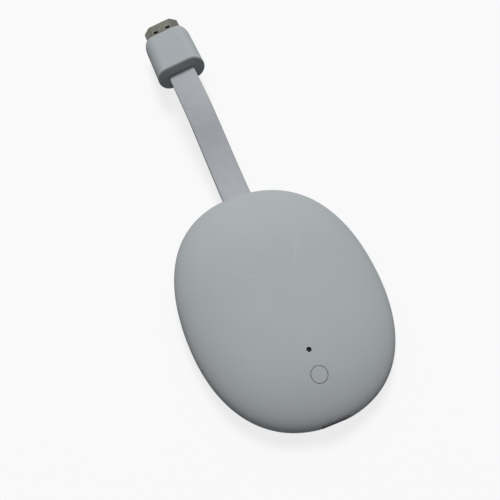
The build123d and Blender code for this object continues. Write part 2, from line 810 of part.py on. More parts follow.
def ribbon_plane(path, distance, straight_start, straight_end):
    """Plane square to the ribbon's route, turned from level at the housing to the plug's own roll."""
    share = (distance - straight_start) / (path.length - straight_end - straight_start)
    turned = share * share * (3 - 2 * share)
    heading = path.tangent_at(distance, position_mode=PositionMode.LENGTH)
    across = Vector(1, 0, 0) * (1 - turned) + plug_across * turned
    across = across - heading * across.dot(heading)
    place = path.position_at(distance, position_mode=PositionMode.LENGTH)
    return Plane(origin=place, x_dir=across * -1, z_dir=heading)


# Flat ribbon: straight where the housing and the plug hold it, and one smooth stretch between them
runs = [end - start for start, end in zip(ribbon_route, ribbon_route[1:])]
ribbon_radii = [
    ribbon_bend_share * min(before.length, after.length) / tan(radians(before.get_angle(after)) / 2)
    for before, after in zip(runs, runs[1:])
]
with BuildLine(mode=Mode.PRIVATE) as ribbon_line:
    FilletPolyline(*ribbon_route, radius=ribbon_radii)
ribbon_path = ribbon_line.wires()[0]
held_start = ribbon_held_share * runs[0].length
held_end = ribbon_held_share * runs[-1].length
with BuildPart() as flat_cable:
    planes = []
    for step in range(ribbon_sections):
        distance = held_start + (ribbon_path.length - held_start - held_end) * step / (ribbon_sections - 1)
        planes.append(ribbon_plane(ribbon_path, distance, held_start, held_end))
    outlines = []
    for plane in planes:
        with BuildSketch(plane) as outline:
            ribbon_section()
        outlines.append(outline.sketch)
    loft(outlines)
    extrude(outlines[0], amount=-held_start)
    extrude(outlines[-1], amount=held_end)
finish(flat_cable, "flat_cable")
section_area = ribbon_width * ribbon_thickness - 2 * ribbon_edge**2
print("ribbon radii", [round(radius, 1) for radius in ribbon_radii])
print("ribbon length", round(ribbon_path.length, 2))
print("ribbon volume", round(flat_cable.part.volume, 1), "against", round(section_area * ribbon_path.length, 1))

# Anchor moulded on the ribbon, which both covers catch, the wires past it, and the clamp over them
with BuildPart() as cable_anchor:
    with BuildSketch(facing_port(anchor_outer_y, ribbon_height)):
        Rectangle(anchor_width, anchor_thickness)
    extrude(amount=anchor_length)
    chamfer(cable_anchor.faces().sort_by(Axis.Y)[-1].edges(), anchor_edge)
    with BuildSketch(facing_port(anchor_outer_y, ribbon_height)):
        ribbon_section(ribbon_fit)
    extrude(amount=anchor_length, mode=Mode.SUBTRACT)
finish(cable_anchor, "cable_anchor")

with BuildPart() as ribbon_wires:
    with BuildSketch(facing_port(ribbon_start_y, ribbon_height)):
        with GridLocations(wire_pitch, 0, wire_count, 1):
            RegularPolygon(wire_diameter / 2, wire_sides)
    extrude(amount=wire_board_reach)
finish(ribbon_wires, "ribbon_wires")

clamp_inside = ribbon_height + wire_diameter / 2 + wire_lift
with BuildPart() as cable_clamp:
    with BuildSketch(facing_port(ribbon_start_y - clamp_from_ribbon)):
        with Locations((0, board_top)):
            Rectangle(clamp_width, clamp_inside + clamp_sheet - board_top, align=(Align.CENTER, Align.MIN))
            Rectangle(
                clamp_width - 2 * clamp_sheet,
                clamp_inside - board_top,
                align=(Align.CENTER, Align.MIN),
                mode=Mode.SUBTRACT,
            )
    extrude(amount=clamp_length)
finish(cable_clamp, "cable_clamp")


def rounded_sleeve(inset, rear):
    """The plug sleeve's form, set in by a wall: a bar with round sides and rounded front corners."""
    width = sleeve_width - 2 * inset
    with BuildPart() as bar:
        with BuildSketch(along_plug(rear)):
            SlotOverall(width, sleeve_thickness - 2 * inset)
        extrude(amount=sleeve_length - inset - rear)
        with BuildSketch(plug_plan(-sleeve_thickness)) as plan:
            with Locations((0, sleeve_length - inset)):
                Rectangle(width, 2 * sleeve_length, align=(Align.CENTER, Align.MAX))
            fillet(plan.vertices().group_by(Axis.Y)[-1], sleeve_corner_radius - inset)
        extrude(amount=2 * sleeve_thickness, mode=Mode.INTERSECT)
    return bar.part


def shell_outline(grow):
    """Cross-section of the plug's shell, narrow side up, grown by a fit or shrunk by its sheet."""
    top = shell_height / 2
    with BuildSketch() as section:
        with BuildLine():
            Polyline(
                (-shell_width / 2, -top),
                (shell_width / 2, -top),
                (shell_width / 2, top - shell_taper_height),
                (shell_narrow_width / 2, top),
                (-shell_narrow_width / 2, top),
                (-shell_width / 2, top - shell_taper_height),
                close=True,
            )
        make_face()
        fillet(section.vertices(), shell_corner_radius)
        if grow:
            offset(amount=grow)
    return section.sketch


def latch_holes(depth):
    """Cuts the latch holes into the current part, from the shell's narrow and wide faces inwards."""
    for side in (1, -1):
        with BuildSketch(plug_plan(side * shell_height / 2)) as holes:
            with Locations((0, plug_tip - latch_hole_from_tip)):
                with GridLocations(latch_hole_spacing, 0, 2, 1):
                    Rectangle(latch_hole_width, latch_hole_length)
        extrude(holes.sketch, amount=-side * depth, mode=Mode.SUBTRACT)


# Video plug: a hard sleeve, the inner mould that fills it, the metal shell, the insulator, the
# contacts in two staggered rows and the wires that reach them from the ribbon
plug_line = Axis(plug_rear, plug_axis)
with BuildPart() as plug_sleeve:
    add(rounded_sleeve(0, 0))
    chamfer(plug_sleeve.faces().sort_by(plug_line)[0].edges(), sleeve_rear_edge)
    add(rounded_sleeve(sleeve_wall - plug_fit, sleeve_floor - plug_fit), mode=Mode.SUBTRACT)
    with BuildSketch(along_plug(shell_rear)):
        add(shell_outline(plug_fit))
    extrude(amount=plug_tip - shell_rear, mode=Mode.SUBTRACT)
    with BuildSketch(along_plug(0)):
        ribbon_section(ribbon_fit)
    extrude(amount=sleeve_floor, mode=Mode.SUBTRACT)
finish(plug_sleeve, "plug_sleeve")

with BuildPart() as plug_inner_mould:
    add(rounded_sleeve(sleeve_wall, sleeve_floor))
    with BuildSketch(along_plug(sleeve_floor)):
        ribbon_section(ribbon_fit)
    extrude(amount=ribbon_in_plug - sleeve_floor, mode=Mode.SUBTRACT)
    with BuildSketch(along_plug(ribbon_in_plug)):
        Rectangle(wire_channel_width, wire_channel_height)
    extrude(amount=insulator_rear - ribbon_in_plug, mode=Mode.SUBTRACT)
    with BuildSketch(along_plug(insulator_rear - plug_fit)):
        add(shell_outline(plug_fit))
    extrude(amount=sleeve_length, mode=Mode.SUBTRACT)
finish(plug_inner_mould, "plug_inner_mould")

with BuildPart() as plug_shell:
    with BuildSketch(along_plug(shell_rear)):
        add(shell_outline(0))
    extrude(amount=plug_tip - shell_rear)
    chamfer(plug_shell.faces().sort_by(plug_line)[-1].edges(), shell_tip_edge)
    with BuildSketch(along_plug(shell_rear)):
        add(shell_outline(-shell_sheet))
    extrude(amount=plug_tip - shell_rear, mode=Mode.SUBTRACT)
    latch_holes(shell_sheet)
finish(plug_shell, "plug_shell")

with BuildPart() as plug_contacts:
    for place in range(wire_count):
        side = 1 if place % 2 else -1
        with BuildSketch(along_plug(plug_contact_rear)):
            with Locations(((place - (wire_count - 1) / 2) * plug_contact_pitch, side * plug_contact_height)):
                Rectangle(plug_contact_width, plug_contact_thickness)
        extrude(amount=plug_tip - insulator_recess - plug_contact_recess - plug_contact_rear)
finish(plug_contacts, "plug_contacts")

with BuildPart() as plug_insulator:
    with BuildSketch(along_plug(insulator_rear)):
        add(shell_outline(-shell_sheet - plug_fit))
    extrude(amount=plug_tip - insulator_recess - insulator_rear)
    with BuildSketch(along_plug(plug_tip - insulator_recess - mouth_depth)):
        Rectangle(mouth_width, mouth_height)
    extrude(amount=mouth_depth, mode=Mode.SUBTRACT)
    latch_holes(shell_sheet + latch_hole_depth)
    add(plug_contacts.part, mode=Mode.SUBTRACT)
finish(plug_insulator, "plug_insulator")

with BuildPart() as plug_wires:
    for place in range(wire_count):
        side = 1 if place % 2 else -1
        along_width = plug_across * (((wire_count - 1) / 2 - place) * wire_pitch)
        start = plug_rear + plug_axis * (ribbon_in_plug + wire_end_gap) + along_width
        end = plug_rear + plug_axis * (plug_contact_rear - wire_end_gap) + along_width
        end = end + plug_up * (side * plug_contact_height)
        with BuildSketch(Plane(origin=start, x_dir=plug_across, z_dir=end - start)):
            RegularPolygon(wire_diameter / 2, wire_sides)
        extrude(amount=(end - start).length)
finish(plug_wires, "plug_wires")
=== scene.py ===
# %% [markdown]
# # Dressing a streaming stick
# A streaming stick is a flat oval housing with a short flat ribbon and a video plug. Its structure
# comes from a CAD model as separate pieces. This notebook gives those pieces their finishes, makes
# the soft ribbon again as one smooth band, lines the power socket's mouth, and sets up the studio
# and the camera. Everything is in metres, X across, +Y towards the plug and +Z out of the
# back cover.

# %% Load the frame
import bmesh
import bpy
import math
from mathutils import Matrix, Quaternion, Vector


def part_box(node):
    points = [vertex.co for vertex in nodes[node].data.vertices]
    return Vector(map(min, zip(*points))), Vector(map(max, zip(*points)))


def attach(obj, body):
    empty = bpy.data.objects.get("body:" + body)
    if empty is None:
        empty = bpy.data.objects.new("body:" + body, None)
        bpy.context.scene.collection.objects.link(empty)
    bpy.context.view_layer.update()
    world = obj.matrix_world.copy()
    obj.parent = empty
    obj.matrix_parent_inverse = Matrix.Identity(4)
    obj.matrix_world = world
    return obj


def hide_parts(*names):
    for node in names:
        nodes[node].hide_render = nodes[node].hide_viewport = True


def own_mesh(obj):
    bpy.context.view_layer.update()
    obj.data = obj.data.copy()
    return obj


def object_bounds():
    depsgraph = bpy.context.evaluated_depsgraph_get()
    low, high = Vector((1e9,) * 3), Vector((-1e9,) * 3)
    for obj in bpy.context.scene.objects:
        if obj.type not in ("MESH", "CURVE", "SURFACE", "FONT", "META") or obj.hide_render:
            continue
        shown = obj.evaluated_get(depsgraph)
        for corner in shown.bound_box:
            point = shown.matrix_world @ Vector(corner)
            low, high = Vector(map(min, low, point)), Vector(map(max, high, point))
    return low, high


MM = 0.001
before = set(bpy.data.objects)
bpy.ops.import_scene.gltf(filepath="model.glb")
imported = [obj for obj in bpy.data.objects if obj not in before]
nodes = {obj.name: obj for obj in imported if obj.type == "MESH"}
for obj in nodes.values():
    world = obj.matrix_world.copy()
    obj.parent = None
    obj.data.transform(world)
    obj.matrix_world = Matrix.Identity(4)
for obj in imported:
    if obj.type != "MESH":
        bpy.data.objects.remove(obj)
cad_low, cad_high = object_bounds()
print("CAD pieces:", len(nodes))
print("CAD size in mm:", [round(side / MM, 1) for side in cad_high - cad_low])

# %% [markdown]
# ## The camera
# The photograph looks down on the back cover from the power socket's end, a little from the left.
# A camera is easiest to read as a place, a point that it aims at and a roll. The lens follows from
# the picture's width: the focal length in pixels times the sensor's width over the picture's width.

# %% Camera
picture_width = 500
focal_length_in_pixels = 552.7
sensor_width = 36.0
nearest_seen = 0.01
camera_place = Vector((-28.52, -52.58, 159.54)) * MM
camera_aim = Vector((-3.00, 18.29, 6.00)) * MM
camera_roll = math.radians(-1.58)

camera_data = bpy.data.cameras.new("camera")
camera_data.sensor_width = sensor_width
camera_data.lens = sensor_width * focal_length_in_pixels / picture_width
camera_data.clip_start = nearest_seen
camera = bpy.data.objects.new("camera", camera_data)
camera.location = camera_place
camera.rotation_mode = "QUATERNION"
level_turn = (camera_aim - camera_place).to_track_quat("-Z", "Y")
camera.rotation_quaternion = level_turn @ Quaternion((0, 0, 1), camera_roll)
bpy.context.scene.collection.objects.link(camera)
bpy.context.scene.camera = camera
print("lens in mm:", round(camera_data.lens, 2))

# %% [markdown]
# ## The ribbon's line
# The ribbon is soft: it leaves the housing level, rises a little and dips into the plug. Its line is
# a NURBS spline with the route's points as control points. Order 3 and the fixed ends are set after
# the points are added, because Blender works the order out again from the number of points.

# %% Route of the ribbon
ribbon_width = 9.6 * MM
ribbon_thickness = 1.8 * MM
ribbon_edge_radius = 0.5 * MM
ribbon_edge_steps = 6
ribbon_height = 5.3 * MM
ribbon_start_y = 31.4 * MM
level_end_y = 43.8 * MM
lower_rise = Vector((-0.2, 57.5, 7.3)) * MM
upper_rise = Vector((-0.6, 71.0, 10.8)) * MM
plug_rear = Vector((-0.9, 90.8, 10.35)) * MM
plug_pitch = math.radians(-12.0)
plug_yaw = math.radians(-1.5)
plug_roll = math.radians(-11.4)
plug_axis = Vector((
    -math.sin(plug_yaw) * math.cos(plug_pitch),
    math.cos(plug_yaw) * math.cos(plug_pitch),
    math.sin(plug_pitch),
))
lead_to_plug = 6.5 * MM
reach_into_plug = 5.0 * MM

ribbon_route = [
    Vector((0.0, ribbon_start_y, ribbon_height)),
    Vector((0.0, level_end_y, ribbon_height)),
    lower_rise,
    upper_rise,
    plug_rear - plug_axis * lead_to_plug,
    plug_rear + plug_axis * reach_into_plug,
]


# %% Line of the ribbon as a mesh of points
def line_mesh(name, route, resolution=24):
    """Returns a mesh whose vertices follow the NURBS spline of a route."""
    curve = bpy.data.curves.new(name, "CURVE")
    curve.dimensions = "3D"
    spline = curve.splines.new("NURBS")
    spline.points.add(len(route) - 1)
    for point, place in zip(spline.points, route):
        point.co = (*place, 1.0)
    spline.order_u = 3
    spline.use_endpoint_u = True
    spline.resolution_u = resolution
    holder = bpy.data.objects.new(name, curve)
    bpy.context.scene.collection.objects.link(holder)
    bpy.context.view_layer.update()
    depsgraph = bpy.context.evaluated_depsgraph_get()
    mesh = bpy.data.meshes.new_from_object(holder.evaluated_get(depsgraph))
    bpy.data.objects.remove(holder)
    return mesh


ribbon_line = line_mesh("ribbon_line", ribbon_route)
ribbon_points = [vertex.co.copy() for vertex in ribbon_line.vertices]
measured = sum((b - a).length for a, b in zip(ribbon_points, ribbon_points[1:]))
print("ribbon line:", len(ribbon_points), "points,", round(measured / MM, 2), "mm")

# %% [markdown]
# ## The ribbon as a Geometry Nodes sweep
# The real ribbon is a jacket drawn over parallel wires: one rounded section all along, and it turns
# by the plug's roll on its way. A sweep says just that: a profile, a line and a turn. A node tree
# keeps the width, the thickness, the edge and both rolls as named inputs, and it is turned into a
# plain mesh once it is set.


# %% Small helpers for node trees
def place_node(tree, kind, **values):
    """Adds a node to a tree and sets its properties by name."""
    node = tree.nodes.new(kind)
    for name, value in values.items():
        setattr(node, name, value)
    return node


def feed(tree, socket, value):
    """Gives an input its value, which is another node's output, a number or a colour."""
    if isinstance(value, bpy.types.NodeSocket):
        tree.links.new(value, socket)
    else:
        socket.default_value = value


def calculate(tree, operation, first, second=None, third=None):
    """Adds a Math node. Each input is a socket or a number."""
    node = place_node(tree, "ShaderNodeMath", operation=operation)
    for socket, value in zip(node.inputs, (first, second, third)):
        if value is not None:
            feed(tree, socket, value)
    return node.outputs[0]


# %% Node tree of a flat band
def flat_band_tree():
    """Builds a Geometry Nodes tree that sweeps a rounded flat section along a line of points."""
    tree = bpy.data.node_groups.new("flat band", "GeometryNodeTree")
    face = tree.interface
    face.new_socket("Line", in_out="INPUT", socket_type="NodeSocketGeometry")
    for name in ("Width", "Thickness", "Edge Radius", "Start Roll", "End Roll"):
        face.new_socket(name, in_out="INPUT", socket_type="NodeSocketFloat")
    face.new_socket("Edge Steps", in_out="INPUT", socket_type="NodeSocketInt")
    face.new_socket("Finish", in_out="INPUT", socket_type="NodeSocketMaterial")
    face.new_socket("Band", in_out="OUTPUT", socket_type="NodeSocketGeometry")
    given = place_node(tree, "NodeGroupInput").outputs

    line = place_node(tree, "GeometryNodeMeshToCurve")
    tree.links.new(given["Line"], line.inputs["Mesh"])
    level = place_node(tree, "GeometryNodeSetCurveNormal", mode="Z_UP")
    tree.links.new(line.outputs["Curve"], level.inputs["Curve"])
    along = place_node(tree, "GeometryNodeSplineParameter")
    share = place_node(tree, "ShaderNodeMapRange", interpolation_type="SMOOTHSTEP")
    tree.links.new(along.outputs["Factor"], share.inputs["Value"])
    tree.links.new(given["Start Roll"], share.inputs["To Min"])
    tree.links.new(given["End Roll"], share.inputs["To Max"])
    tilt = place_node(tree, "GeometryNodeSetCurveTilt")
    tree.links.new(level.outputs["Curve"], tilt.inputs["Curve"])
    tree.links.new(share.outputs["Result"], tilt.inputs["Tilt"])

    section = place_node(tree, "GeometryNodeCurvePrimitiveQuadrilateral", mode="RECTANGLE")
    tree.links.new(given["Width"], section.inputs["Width"])
    tree.links.new(given["Thickness"], section.inputs["Height"])
    rounded = place_node(tree, "GeometryNodeFilletCurve", mode="POLY")
    rounded.inputs["Limit Radius"].default_value = True
    tree.links.new(section.outputs["Curve"], rounded.inputs["Curve"])
    tree.links.new(given["Edge Radius"], rounded.inputs["Radius"])
    tree.links.new(given["Edge Steps"], rounded.inputs["Count"])

    sweep = place_node(tree, "GeometryNodeCurveToMesh")
    sweep.inputs["Fill Caps"].default_value = True
    tree.links.new(tilt.outputs["Curve"], sweep.inputs["Curve"])
    tree.links.new(rounded.outputs["Curve"], sweep.inputs["Profile Curve"])
    real = place_node(tree, "GeometryNodeRealizeInstances")
    tree.links.new(sweep.outputs["Mesh"], real.inputs["Geometry"])
    finish = place_node(tree, "GeometryNodeSetMaterial")
    tree.links.new(real.outputs["Geometry"], finish.inputs["Geometry"])
    tree.links.new(given["Finish"], finish.inputs["Material"])
    made = place_node(tree, "NodeGroupOutput")
    tree.links.new(finish.outputs["Geometry"], made.inputs["Band"])
    return tree


def grow(name, start_mesh, tree, **inputs):
    """Runs a Geometry Nodes tree on a mesh and returns the result as an object with a plain mesh."""
    maker = bpy.data.objects.new(name + "_maker", start_mesh)
    bpy.context.scene.collection.objects.link(maker)
    modifier = maker.modifiers.new("nodes", "NODES")
    modifier.node_group = tree
    for item in tree.interface.items_tree:
        if item.in_out == "INPUT" and item.name in inputs:
            modifier[item.identifier] = inputs[item.name]
    bpy.context.view_layer.update()
    depsgraph = bpy.context.evaluated_depsgraph_get()
    mesh = bpy.data.meshes.new_from_object(maker.evaluated_get(depsgraph))
    mesh.name = name
    bpy.data.objects.remove(maker)
    piece = bpy.data.objects.new(name, mesh)
    bpy.context.scene.collection.objects.link(piece)
    return piece


# %% [markdown]
# ## Shared effects
# Real plastic and metal are never one flat colour. Effects that several finishes share are built
# once as node groups: the moulded grain, worn edges, painted shade in narrow gaps, hairline scratches,
# sparse specks and the drawn grain of metal. Each puts out masks or heights, and the finish decides
# what they do.
# Colours are written as they look on a screen, from 0 to 255, and turned into Blender's linear scale.


# %% Colours and groups
def screen_colour(red, green, blue):
    """Turns a colour as seen on a screen, 0 to 255, into a linear colour."""
    def linear(value):
        share = value / 255
        return share / 12.92 if share <= 0.04045 else ((share + 0.055) / 1.055) ** 2.4
    return (linear(red), linear(green), linear(blue), 1.0)


def new_group(name, inputs, outputs):
    """Starts a shader node group. Returns it with its input sockets and the output node's sockets."""
    group = bpy.data.node_groups.new(name, "ShaderNodeTree")
    for socket_name, value in inputs.items():
        kind = "NodeSocketVector" if value is None else "NodeSocketFloat"
        socket = group.interface.new_socket(socket_name, in_out="INPUT", socket_type=kind)
        if value is not None:
            socket.default_value = value
    for socket_name in outputs:
        group.interface.new_socket(socket_name, in_out="OUTPUT", socket_type="NodeSocketFloat")
    given = place_node(group, "NodeGroupInput").outputs
    made = place_node(group, "NodeGroupOutput").inputs
    return group, given, made


def noise(tree, position, scale, detail=2.0, roughness=0.5):
    """Adds a noise texture that reads a position. The scale is a number or a socket."""
    node = place_node(tree, "ShaderNodeTexNoise")
    node.inputs["Detail"].default_value = detail
    node.inputs["Roughness"].default_value = roughness
    tree.links.new(position, node.inputs["Vector"])
    feed(tree, node.inputs["Scale"], scale)
    return node.outputs["Fac"]


def ramp(tree, value, low, high):
    """Spreads the values from low to high over 0 to 1, and cuts off the rest."""
    node = place_node(tree, "ShaderNodeMapRange", clamp=True, interpolation_type="SMOOTHSTEP")
    tree.links.new(value, node.inputs["Value"])
    node.inputs["From Min"].default_value = low
    node.inputs["From Max"].default_value = high
    return node.outputs["Result"]


# %% Moulded grain
def moulded_grain_group():
    """Fine texture of a mould's surface, and slow changes of tone across a piece."""
    inputs = {"Position": None, "Grain Scale": 2600.0, "Tone Scale": 55.0}
    group, given, made = new_group("moulded grain", inputs, ("Height", "Gloss", "Tone"))
    coarseness = 0.22
    coarse_share = 0.35
    fine = noise(group, given["Position"], given["Grain Scale"], detail=3.0, roughness=0.6)
    coarse_scale = calculate(group, "MULTIPLY", given["Grain Scale"], coarseness)
    coarse = noise(group, given["Position"], coarse_scale)
    height = calculate(group, "MULTIPLY_ADD", coarse, coarse_share, fine)
    tone = noise(group, given["Position"], given["Tone Scale"], detail=3.0)
    group.links.new(height, made["Height"])
    group.links.new(ramp(group, coarse, low=0.3, high=0.7), made["Gloss"])
    group.links.new(ramp(group, tone, low=0.25, high=0.75), made["Tone"])
    return group


# %% Worn edges
def worn_edge_group():
    """Mask of the edges that hands and pockets rub, broken up so that it isn't an even line."""
    inputs = {"Position": None, "Patch Scale": 700.0}
    group, given, made = new_group("worn edge", inputs, ("Mask",))
    worn_width = 0.25 * MM
    rounded = place_node(group, "ShaderNodeBevel", samples=6)
    rounded.inputs["Radius"].default_value = worn_width
    plain = place_node(group, "ShaderNodeNewGeometry")
    same = place_node(group, "ShaderNodeVectorMath", operation="DOT_PRODUCT")
    group.links.new(rounded.outputs["Normal"], same.inputs[0])
    group.links.new(plain.outputs["Normal"], same.inputs[1])
    bend = calculate(group, "SUBTRACT", 1.0, same.outputs["Value"])
    edge = ramp(group, bend, low=0.01, high=0.12)
    cloud = noise(group, given["Position"], given["Patch Scale"], detail=4.0)
    patches = ramp(group, cloud, low=0.35, high=0.7)
    group.links.new(calculate(group, "MULTIPLY", edge, patches), made["Mask"])
    return group


# %% Painted gap shade
def painted_gap_shade_group():
    """Mask of painted shade in narrow gaps, stronger in some stretches than in others."""
    inputs = {"Position": None, "Patch Scale": 110.0}
    group, given, made = new_group("painted_gap_shade", inputs, ("Mask",))
    widest_gap = 0.5 * MM
    weakest = 0.6
    around = place_node(group, "ShaderNodeAmbientOcclusion", samples=8)
    around.inputs["Distance"].default_value = widest_gap
    shut = calculate(group, "SUBTRACT", 1.0, around.outputs["AO"])
    shaded_gap = ramp(group, shut, low=0.25, high=0.7)
    patches = noise(group, given["Position"], given["Patch Scale"], detail=1.0)
    strength = ramp(group, patches, low=0.3, high=0.6)
    uneven = calculate(group, "MULTIPLY_ADD", strength, 1.0 - weakest, weakest)
    group.links.new(calculate(group, "MULTIPLY", shaded_gap, uneven), made["Mask"])
    return group


# %% Hairline scratches
def hairline_group():
    """Mask of long thin scratches in two directions, with an amount from 0 to 1."""
    group, given, made = new_group("hairlines", {"Position": None, "Amount": 0.3}, ("Mask",))
    turns_and_stretches = (
        (0.5, (900.0, 26.0, 60.0)),
        (-0.95, (1100.0, 34.0, 60.0)),
    )
    lines = []
    for turn, stretch in turns_and_stretches:
        turned = place_node(group, "ShaderNodeMapping", vector_type="POINT")
        turned.inputs["Rotation"].default_value = (0.0, 0.0, turn)
        group.links.new(given["Position"], turned.inputs["Vector"])
        stretched = place_node(group, "ShaderNodeVectorMath", operation="MULTIPLY")
        stretched.inputs[1].default_value = stretch
        group.links.new(turned.outputs["Vector"], stretched.inputs[0])
        cloud = noise(group, stretched.outputs["Vector"], 1.0, detail=1.0)
        lines.append(ramp(group, cloud, low=0.70, high=0.76))
    both = calculate(group, "MAXIMUM", lines[0], lines[1])
    group.links.new(calculate(group, "MULTIPLY", both, given["Amount"]), made["Mask"])
    return group


# %% Specks
def speck_group():
    """Mask of sparse small specks of dust, one in a few of the cells that a surface is divided into."""
    inputs = {"Position": None, "Cells": 130.0, "Size": 0.035}
    group, given, made = new_group("specks", inputs, ("Mask",))
    clean_share = 0.72
    cells = place_node(group, "ShaderNodeTexVoronoi", feature="F1")
    cells.inputs["Randomness"].default_value = 1.0
    group.links.new(given["Position"], cells.inputs["Vector"])
    group.links.new(given["Cells"], cells.inputs["Scale"])
    inside = calculate(group, "LESS_THAN", cells.outputs["Distance"], given["Size"])
    parts = place_node(group, "ShaderNodeSeparateColor")
    group.links.new(cells.outputs["Color"], parts.inputs["Color"])
    chosen = calculate(group, "GREATER_THAN", parts.outputs["Red"], clean_share)
    group.links.new(calculate(group, "MULTIPLY", inside, chosen), made["Mask"])
    return group


# %% Drawn grain
def drawn_grain_group():
    """Streaks along Y that rolling and drawing leave in sheet metal."""
    inputs = {"Position": None, "Streaks": 9000.0}
    group, given, made = new_group("drawn grain", inputs, ("Height", "Tone"))
    squeeze_along = 0.03
    tone_scale = 450.0
    stretched = place_node(group, "ShaderNodeVectorMath", operation="MULTIPLY")
    stretched.inputs[1].default_value = (1.0, squeeze_along, 1.0)
    group.links.new(given["Position"], stretched.inputs[0])
    streaks = noise(group, stretched.outputs["Vector"], given["Streaks"], detail=3.0)
    tone = noise(group, given["Position"], tone_scale, detail=4.0)
    group.links.new(streaks, made["Height"])
    group.links.new(ramp(group, tone, low=0.3, high=0.7), made["Tone"])
    return group


grain = moulded_grain_group()
worn_edge = worn_edge_group()
painted_gap_shade = painted_gap_shade_group()
hairlines = hairline_group()
specks = speck_group()
drawn_grain = drawn_grain_group()
shared_effects = (grain, worn_edge, painted_gap_shade, hairlines, specks, drawn_grain)
print("shared effects:", [group.name for group in shared_effects])


# %% [markdown]
# ## Finishes
# A finish is a Principled BSDF whose colour, roughness and normal are driven by the groups. Numbers
# that are the same all over a surface stay on the shader itself. Every pattern reads Object
# coordinates, so it stays on its piece from any side.


# %% Parts that every finish has
def new_finish(name, turn=(0.0, 0.0, 0.0)):
    """Starts a material. Returns its tree, its shader and the position that its patterns read."""
    material = bpy.data.materials.new(name)
    material.use_nodes = True
    tree = material.node_tree
    shader = tree.nodes["Principled BSDF"]
    place = place_node(tree, "ShaderNodeTexCoord")
    turned = place_node(tree, "ShaderNodeMapping", vector_type="POINT")
    turned.inputs["Rotation"].default_value = turn
    tree.links.new(place.outputs["Object"], turned.inputs["Vector"])
    return material, tree, shader, turned.outputs["Vector"]


def use_group(tree, group, position, **values):
    """Places a shared effect in a material and returns its outputs."""
    node = place_node(tree, "ShaderNodeGroup", node_tree=group)
    tree.links.new(position, node.inputs["Position"])
    for name, value in values.items():
        node.inputs[name.replace("_", " ").title()].default_value = value
    return node.outputs


# A Mix node has inputs of the same name for numbers, vectors and colours side by side, so the pair
# of one kind and its result are found by their place in the node.
number_pair, number_result = (2, 3), 0
colour_pair, colour_result = (6, 7), 2


def blend_colour(tree, mask, first, second):
    """Mixes two colours by a mask. Each colour is a socket or a linear colour."""
    node = place_node(tree, "ShaderNodeMix", data_type="RGBA")
    tree.links.new(mask, node.inputs["Factor"])
    for place, value in zip(colour_pair, (first, second)):
        feed(tree, node.inputs[place], value)
    return node.outputs[colour_result]


def blend_number(tree, mask, first, second):
    """Mixes two numbers by a mask. Each number is a socket or a value."""
    node = place_node(tree, "ShaderNodeMix", data_type="FLOAT")
    tree.links.new(mask, node.inputs["Factor"])
    for place, value in zip(number_pair, (first, second)):
        feed(tree, node.inputs[place], value)
    return node.outputs[number_result]


def raise_surface(tree, shader, height, depth):
    """Bumps a surface by a height from 0 to 1 that stands for a depth in metres."""
    bump = place_node(tree, "ShaderNodeBump")
    bump.inputs["Strength"].default_value = 1.0
    bump.inputs["Distance"].default_value = depth
    tree.links.new(height, bump.inputs["Height"])
    tree.links.new(bump.outputs["Normal"], shader.inputs["Normal"])


def shaded(colour, factor):
    """A colour made darker or lighter by a factor."""
    return tuple(part * factor for part in colour[:3]) + (1.0,)


def mottled(tree, tone, colour, darkest, lightest):
    """A colour that drifts between a darker and a lighter shade of itself, as a tone mask says."""
    return blend_colour(tree, tone, shaded(colour, darkest), shaded(colour, lightest))


def lay_over(tree, under, mask, strength, over):
    """Lays a colour over another where a mask is, at a strength from 0 to 1."""
    return blend_colour(tree, calculate(tree, "MULTIPLY", mask, strength), under, over)


def vary_roughness(tree, shader, mask, bare, full):
    """Gives a shader one roughness where a mask is 0 and another where it is 1."""
    tree.links.new(blend_number(tree, mask, bare, full), shader.inputs["Roughness"])


# %% [markdown]
# ### Handled plastic
# The covers, the button and the plug's sleeve are matte moulded plastic. Up close it has a fine even
# grain, a slightly uneven tone, edges polished by handling, a few hairlines and specks of dust, and
# narrow gaps get painted shade. Each of these is laid over the one before, with a strength and a
# shade against the plain colour.


# %% Handled plastic
def handled_plastic(name, colour, rough=0.66, grain_depth=0.012 * MM, scratches=0.35):
    """Finish of the outside mouldings."""
    material, tree, shader, position = new_finish(name)
    surface = use_group(tree, grain, position)
    edge = use_group(tree, worn_edge, position)["Mask"]
    scratch = use_group(tree, hairlines, position, amount=scratches)["Mask"]
    dust = use_group(tree, specks, position)["Mask"]
    # Painted shade in narrow gaps: the last layer below darkens them nearly to black.
    shaded_gap = use_group(tree, painted_gap_shade, position)["Mask"]
    look = mottled(tree, surface["Tone"], colour, darkest=0.98, lightest=1.015)
    for mask, strength, shade in (
        (edge, 0.35, 1.22),
        (scratch, 0.5, 1.25),
        (dust, 0.6, 0.35),
        (shaded_gap, 0.95, 0.08),
    ):
        look = lay_over(tree, look, mask, strength, shaded(colour, shade))
    tree.links.new(look, shader.inputs["Base Color"])
    edge_polish, scratch_polish = 0.16, 0.12
    uneven = blend_number(tree, surface["Gloss"], rough - 0.04, rough + 0.06)
    polished = blend_number(tree, edge, uneven, rough - edge_polish)
    vary_roughness(tree, shader, scratch, bare=polished, full=rough - scratch_polish)
    scratch_height = -0.6
    height = calculate(tree, "MULTIPLY_ADD", scratch, scratch_height, surface["Height"])
    raise_surface(tree, shader, height, grain_depth)
    shader.inputs["IOR"].default_value = 1.50
    shader.inputs["Specular IOR Level"].default_value = 0.22
    return material


cover_grey = handled_plastic("cover_grey", screen_colour(166, 171, 174))
sleeve_grey = handled_plastic("sleeve_grey", screen_colour(161, 167, 170), rough=0.6, scratches=0.2)

# %% [markdown]
# ### Ribbon jacket
# The jacket is a soft matte rubbery plastic, a little more purple than the housing. It shows faint
# long ripples where the wires lie under it, so its bump is a set of lines along the ribbon.


